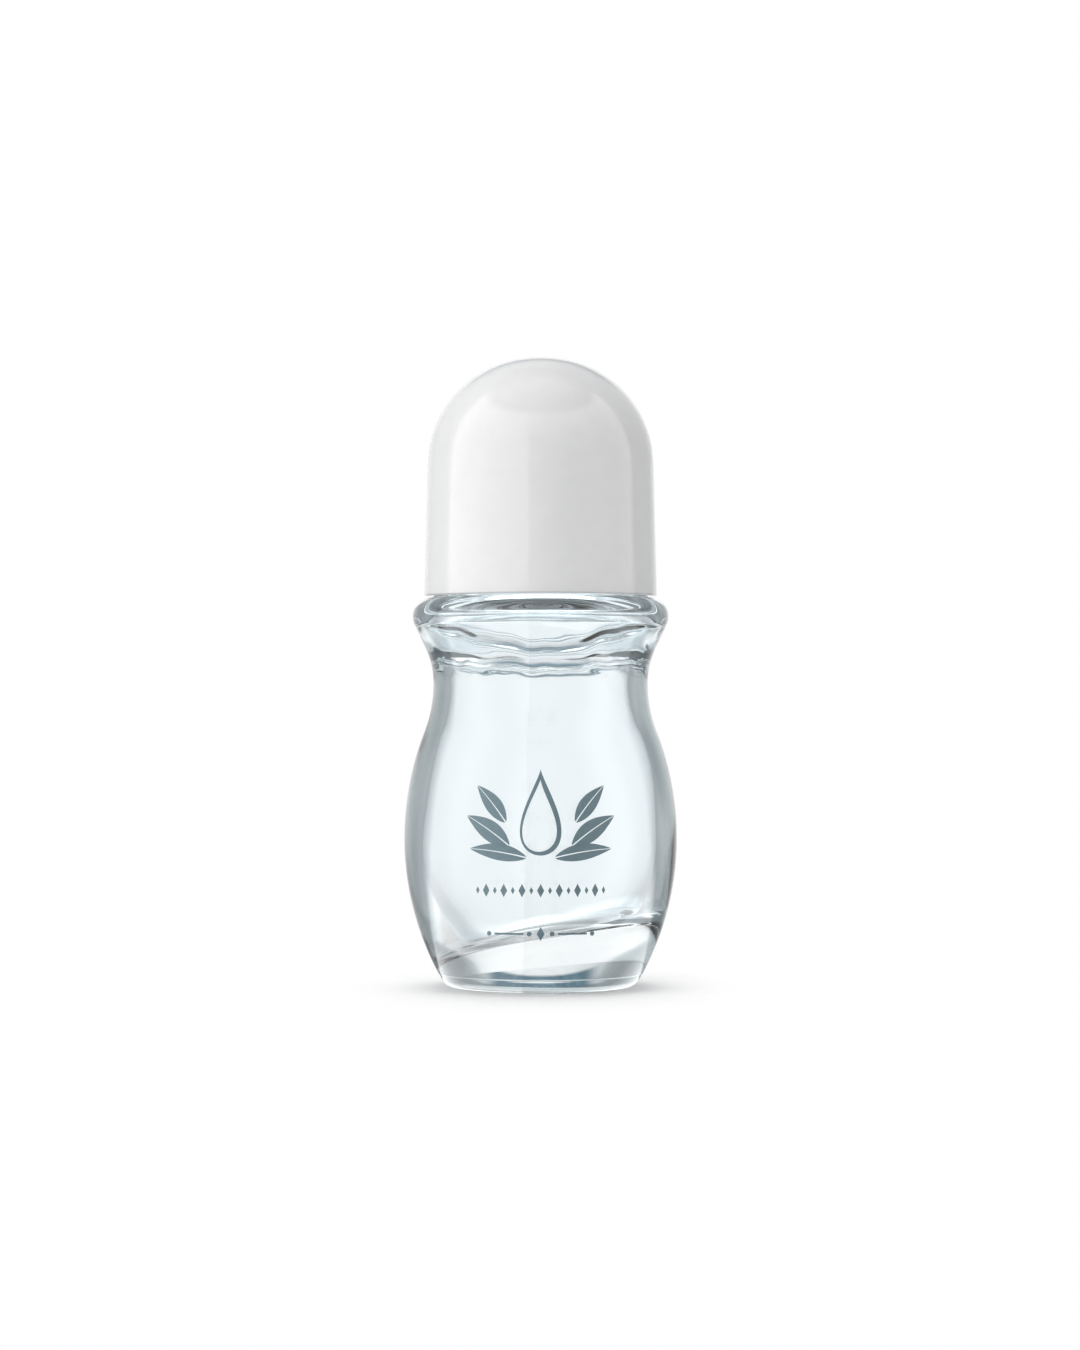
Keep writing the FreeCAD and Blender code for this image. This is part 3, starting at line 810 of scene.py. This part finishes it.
# Studio that glass and gloss see around the bottle, by degrees from straight behind it, in shades of a level
SWEEP_LEVEL = 2.4
BEHIND = [
    (0, (0.417, 0.417, 0.417)),
    (12, (0.412, 0.412, 0.412)),
    (20, (0.385, 0.388, 0.388)),
    (26, (0.35, 0.355, 0.355)),
    (32, (0.265, 0.272, 0.275)),
    (38, (0.215, 0.225, 0.23)),
    (46, (0.18, 0.19, 0.195)),
    (56, (0.165, 0.18, 0.185)),
]
GLOSS_SWEEP = BEHIND + [
    (72, (0.20, 0.215, 0.225)),
    (79, (0.95, 0.95, 0.95)),
    (116, (0.92, 0.92, 0.92)),
    (130, (0.78, 0.78, 0.78)),
    (146, (0.52, 0.54, 0.55)),
    (156, (0.36, 0.38, 0.39)),
    (170, (0.41, 0.41, 0.41)),
]
GLASS_SWEEP = BEHIND + [
    (66, (0.25, 0.265, 0.27)),
    (78, (0.40, 0.40, 0.40)),
    (102, (0.40, 0.40, 0.40)),
    (118, (0.26, 0.275, 0.28)),
    (130, (0.20, 0.215, 0.22)),
    (142, (0.25, 0.265, 0.27)),
    (156, (0.37, 0.375, 0.375)),
    (170, (0.417, 0.417, 0.417)),
]
SIDE_GAIN = 0.14
OVERHEAD_SPAN = (0.76, 0.84)
OVERHEAD_DROP = 0.75
# A dark card stands above the bright part of the backdrop; its edges are shares of a unit direction
CARD = {"bottom": (0.398, 0.42), "top": (0.52, 0.66), "side": (0.27, 0.40), "behind": (0.0, 0.3)}
CARD_COLOUR = (0.03, 0.065, 0.085)
# A soft box stands in front on the left, for gloss alone
BOX = {"side": (0.195, 0.21), "ahead": (0.5, 0.62)}
BOX_COLOUR = (0.95, 0.95, 0.95)


def mix_shaders(tree, factor, first, second):
    mix = tree.nodes.new("ShaderNodeMixShader")
    tree.links.new(factor, mix.inputs["Fac"])
    tree.links.new(first, mix.inputs[1])
    tree.links.new(second, mix.inputs[2])
    return mix.outputs[0]


def glow(tree, kind, strength=1.0):
    node = tree.nodes.new(kind)
    node.inputs["Color"].default_value = (1, 1, 1, 1)
    node.inputs["Strength"].default_value = strength
    return node


def card_share(tree, way):
    """How much of the dark card is in a direction."""
    bottom = smooth_range(tree, way.outputs["Z"], CARD["bottom"])
    height = math_node(tree, "SUBTRACT", bottom, smooth_range(tree, way.outputs["Z"], CARD["top"]))
    aside = math_node(tree, "ABSOLUTE", way.outputs["X"])
    width = math_node(tree, "SUBTRACT", 1.0, smooth_range(tree, aside, CARD["side"]))
    behind = smooth_range(tree, way.outputs["Y"], CARD["behind"])
    return math_node(tree, "MULTIPLY", math_node(tree, "MULTIPLY", height, width), behind)


def box_share(tree, way):
    """How much of the left soft box is in a direction."""
    left = smooth_range(tree, math_node(tree, "MULTIPLY", way.outputs["X"], -1.0), BOX["side"])
    ahead = smooth_range(tree, math_node(tree, "MULTIPLY", way.outputs["Y"], -1.0), BOX["ahead"])
    return math_node(tree, "MULTIPLY", left, ahead)


def sweep_glow(tree, kind, place, sweep, share=1.0):
    """The studio in the direction of a place, alike on its floor and in the air."""
    unit = tree.nodes.new("ShaderNodeVectorMath")
    unit.operation = "NORMALIZE"
    tree.links.new(place, unit.inputs[0])
    way = tree.nodes.new("ShaderNodeSeparateXYZ")
    tree.links.new(unit.outputs["Vector"], way.inputs[0])
    turned = math_node(tree, "DIVIDE", math_node(tree, "ARCCOSINE", way.outputs["Y"]), math.pi)
    backdrop = colour_ramp(tree, turned, [(degrees / 180, colour) for degrees, colour in sweep])
    if sweep is GLOSS_SWEEP:
        backdrop = mix_colours(tree, box_share(tree, way), backdrop, BOX_COLOUR)
    node = glow(tree, kind)
    tree.links.new(mix_colours(tree, card_share(tree, way), backdrop, CARD_COLOUR), node.inputs["Color"])
    ahead = math_node(tree, "MULTIPLY", way.outputs["Y"], way.outputs["Y"])
    side = math_node(tree, "MULTIPLY", way.outputs["X"], math_node(tree, "MULTIPLY_ADD", ahead, 2.0, -1.0))
    level = math_node(tree, "MULTIPLY_ADD", side, SIDE_GAIN * SWEEP_LEVEL, SWEEP_LEVEL)
    above = smooth_range(tree, way.outputs["Z"], OVERHEAD_SPAN)
    level = math_node(tree, "MULTIPLY", level, math_node(tree, "MULTIPLY_ADD", above, -OVERHEAD_DROP, 1.0))
    tree.links.new(math_node(tree, "MULTIPLY", level, share), node.inputs["Strength"])
    return node.outputs[0]


def sharp_rays(tree):
    """Whether a ray comes to the stage by way of gloss, by way of glass, and straight from the camera."""
    rays = tree.nodes.new("ShaderNodeLightPath")
    straight = rays.outputs["Is Camera Ray"]
    by_way = []
    for kind in ("Is Glossy Ray", "Is Transmission Ray"):
        later = math_node(tree, "SUBTRACT", rays.outputs[kind], straight)
        by_way.append(math_node(tree, "GREATER_THAN", later, 0.5))
    return *by_way, straight


# Floor, in metres: it keeps the shadow near the bottle and runs into the white around it
STAGE_REACH = 4.0
STAGE_PLACE = -0.0001
STAGE_DARK = (0.93, 0.93, 0.93)
STAGE_LIGHT = (0.95, 0.95, 0.95)
STAGE_NOISE = 30
STAGE_ROUGHNESS = 0.9
STAGE_LIFT = 0.16
FAR_SPAN = (0.018, 0.06)
FAR_STRETCH = 2.0
# Glass sees the floor close to the bottle with painted shadow in front of it and painted light behind it
CLOSE_SPAN = (0.015, 0.045)
BACK_SPAN = (0.004, 0.011)
FRONT_SHADOW = -0.4
BACK_LIGHT = 0.4


def floor_distance(tree, place, stretch=1.0):
    """How far a place of the floor is from the axis, where a step aside counts as so many steps."""
    aside = math_node(tree, "MULTIPLY", place.outputs["X"], stretch)
    square = math_node(tree, "MULTIPLY", aside, aside)
    square = math_node(tree, "MULTIPLY_ADD", place.outputs["Y"], place.outputs["Y"], square)
    return math_node(tree, "SQRT", square)


def floor_material():
    made, tree, shader = new_material("pale_floor")
    add_colour(tree, shader, add_noise(tree, STAGE_NOISE), STAGE_DARK, STAGE_LIGHT)
    shader.inputs["Roughness"].default_value = STAGE_ROUGHNESS
    shader.inputs["Specular IOR Level"].default_value = 0.0
    point = tree.nodes.new("ShaderNodeTexCoord").outputs["Object"]
    place = tree.nodes.new("ShaderNodeSeparateXYZ")
    tree.links.new(point, place.inputs[0])
    by_gloss, by_glass, straight = sharp_rays(tree)
    # What the camera sees: the floor itself, a little lifted, and white further away
    lift = glow(tree, "ShaderNodeEmission")
    tree.links.new(math_node(tree, "MULTIPLY", straight, STAGE_LIFT), lift.inputs["Strength"])
    near = tree.nodes.new("ShaderNodeAddShader")
    tree.links.new(shader.outputs[0], near.inputs[0])
    tree.links.new(lift.outputs[0], near.inputs[1])
    far = smooth_range(tree, floor_distance(tree, place, FAR_STRETCH), FAR_SPAN)
    white = glow(tree, "ShaderNodeEmission")
    plain = mix_shaders(tree, math_node(tree, "MULTIPLY", straight, far), near.outputs[0], white.outputs[0])
    # What gloss and glass see: the studio
    # Painted shadow on the floor close in front of the bottle and painted light close behind it, as glass
    # sees them
    close = math_node(tree, "SUBTRACT", 1.0, smooth_range(tree, floor_distance(tree, place), CLOSE_SPAN))
    back = smooth_range(tree, place.outputs["Y"], BACK_SPAN)
    seen_shadow_and_light = math_node(tree, "MULTIPLY_ADD", back, BACK_LIGHT - FRONT_SHADOW, FRONT_SHADOW)
    share = math_node(tree, "MULTIPLY_ADD", close, seen_shadow_and_light, 1.0)
    gloss = sweep_glow(tree, "ShaderNodeEmission", point, GLOSS_SWEEP)
    through = sweep_glow(tree, "ShaderNodeEmission", point, GLASS_SWEEP, share)
    shown = mix_shaders(tree, by_glass, mix_shaders(tree, by_gloss, plain, gloss), through)
    tree.links.new(shown, tree.nodes["Material Output"].inputs["Surface"])
    return made


def floor_plane():
    ends = [(-1, -1), (1, -1), (1, 1), (-1, 1)]
    corners = [(x * STAGE_REACH, y * STAGE_REACH, STAGE_PLACE) for x, y in ends]
    made = new_mesh("floor", corners, [(0, 1, 2, 3)])
    dress(made, floor_material())
    made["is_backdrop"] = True


# World and lamps
SOFT_LEVEL = 0.38
MIDDLE = (0, 0, 0.05)
# Each lamp: place, width and height in metres, and power in watts
LAMPS = {
    "left_box": ((-0.62, -0.36, 0.16), 0.4, 0.7, 3.2),
    "right_box": ((0.62, -0.25, 0.16), 0.3, 0.6, 0.4),
    "top_box": ((0, 0.1, 0.8), 0.6, 0.6, 3.2),
}
NECK_LAMP_PLACE = (0, 0, 0.052)
NECK_LAMP_SIZE = 0.004
NECK_LAMP_POWER = 0.03


def studio_world():
    """White to the camera; to glass and gloss, a bright sweep that darkens to blue-grey at both sides."""
    world = bpy.data.worlds.new("studio")
    bpy.context.scene.world = world
    world.use_nodes = True
    tree = world.node_tree
    tree.nodes.clear()
    point = tree.nodes.new("ShaderNodeTexCoord").outputs["Generated"]
    by_gloss, by_glass, straight = sharp_rays(tree)
    soft = glow(tree, "ShaderNodeBackground", SOFT_LEVEL)
    white = glow(tree, "ShaderNodeBackground")
    gloss = sweep_glow(tree, "ShaderNodeBackground", point, GLOSS_SWEEP)
    through = sweep_glow(tree, "ShaderNodeBackground", point, GLASS_SWEEP)
    around = mix_shaders(tree, by_glass, mix_shaders(tree, by_gloss, soft.outputs[0], gloss), through)
    output = tree.nodes.new("ShaderNodeOutputWorld")
    tree.links.new(mix_shaders(tree, straight, around, white.outputs[0]), output.inputs["Surface"])


def add_lamp(lamp, place):
    """Put a lamp in the scene, unseen by gloss and glass, which have the studio to see."""
    made = bpy.data.objects.new(lamp.name, lamp)
    bpy.context.collection.objects.link(made)
    made.location = place
    made.visible_glossy = False
    made.visible_transmission = False
    return made


def area_light(name, place, width, height, power):
    lamp = bpy.data.lights.new(name, "AREA")
    lamp.shape = "RECTANGLE"
    lamp.size = width
    lamp.size_y = height
    lamp.energy = power
    look = np.array(MIDDLE) - np.array(place)
    yaw = math.atan2(look[1], look[0])
    pitch = math.atan2(look[2], math.hypot(look[0], look[1]))
    add_lamp(lamp, place).rotation_euler = (math.pi / 2 + pitch, 0, yaw - math.pi / 2)


def neck_fill():
    """The light that reaches the housing and ball through the glass around them."""
    lamp = bpy.data.lights.new("neck_fill", "POINT")
    lamp.energy = NECK_LAMP_POWER
    lamp.shadow_soft_size = NECK_LAMP_SIZE
    lamp.color = PLASTIC_GLOW_AND_LAMP_COLOUR
    add_lamp(lamp, NECK_LAMP_PLACE)


floor_plane()
neck_fill()
for lamp_name, setting in LAMPS.items():
    area_light(lamp_name, *setting)
studio_world()


# Camera, in metres: level with the belly's upper half, a little over half a metre in front
EYE = (-0.00009, -0.535, 0.0405)
AIM_HEIGHT = 0.0448
VIEW_HEIGHT = 0.1944
SENSOR_HEIGHT = 24
NEAREST = 0.01


def add_camera():
    lens = bpy.data.cameras.new("camera")
    made = bpy.data.objects.new("camera", lens)
    bpy.context.collection.objects.link(made)
    made.location = EYE
    made.rotation_euler = (math.pi / 2 + math.atan2(AIM_HEIGHT - EYE[2], -EYE[1]), 0, 0)
    lens.sensor_fit = "VERTICAL"
    lens.sensor_height = SENSOR_HEIGHT
    lens.lens = SENSOR_HEIGHT * -EYE[1] / VIEW_HEIGHT
    lens.clip_start = NEAREST
    bpy.context.scene.camera = made


add_camera()
bpy.context.scene.view_settings.view_transform = "Standard"

boxes = {"cad": cad_box, "visual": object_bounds()}
{name: [[float(v) for v in corner] for corner in box] for name, box in boxes.items()}
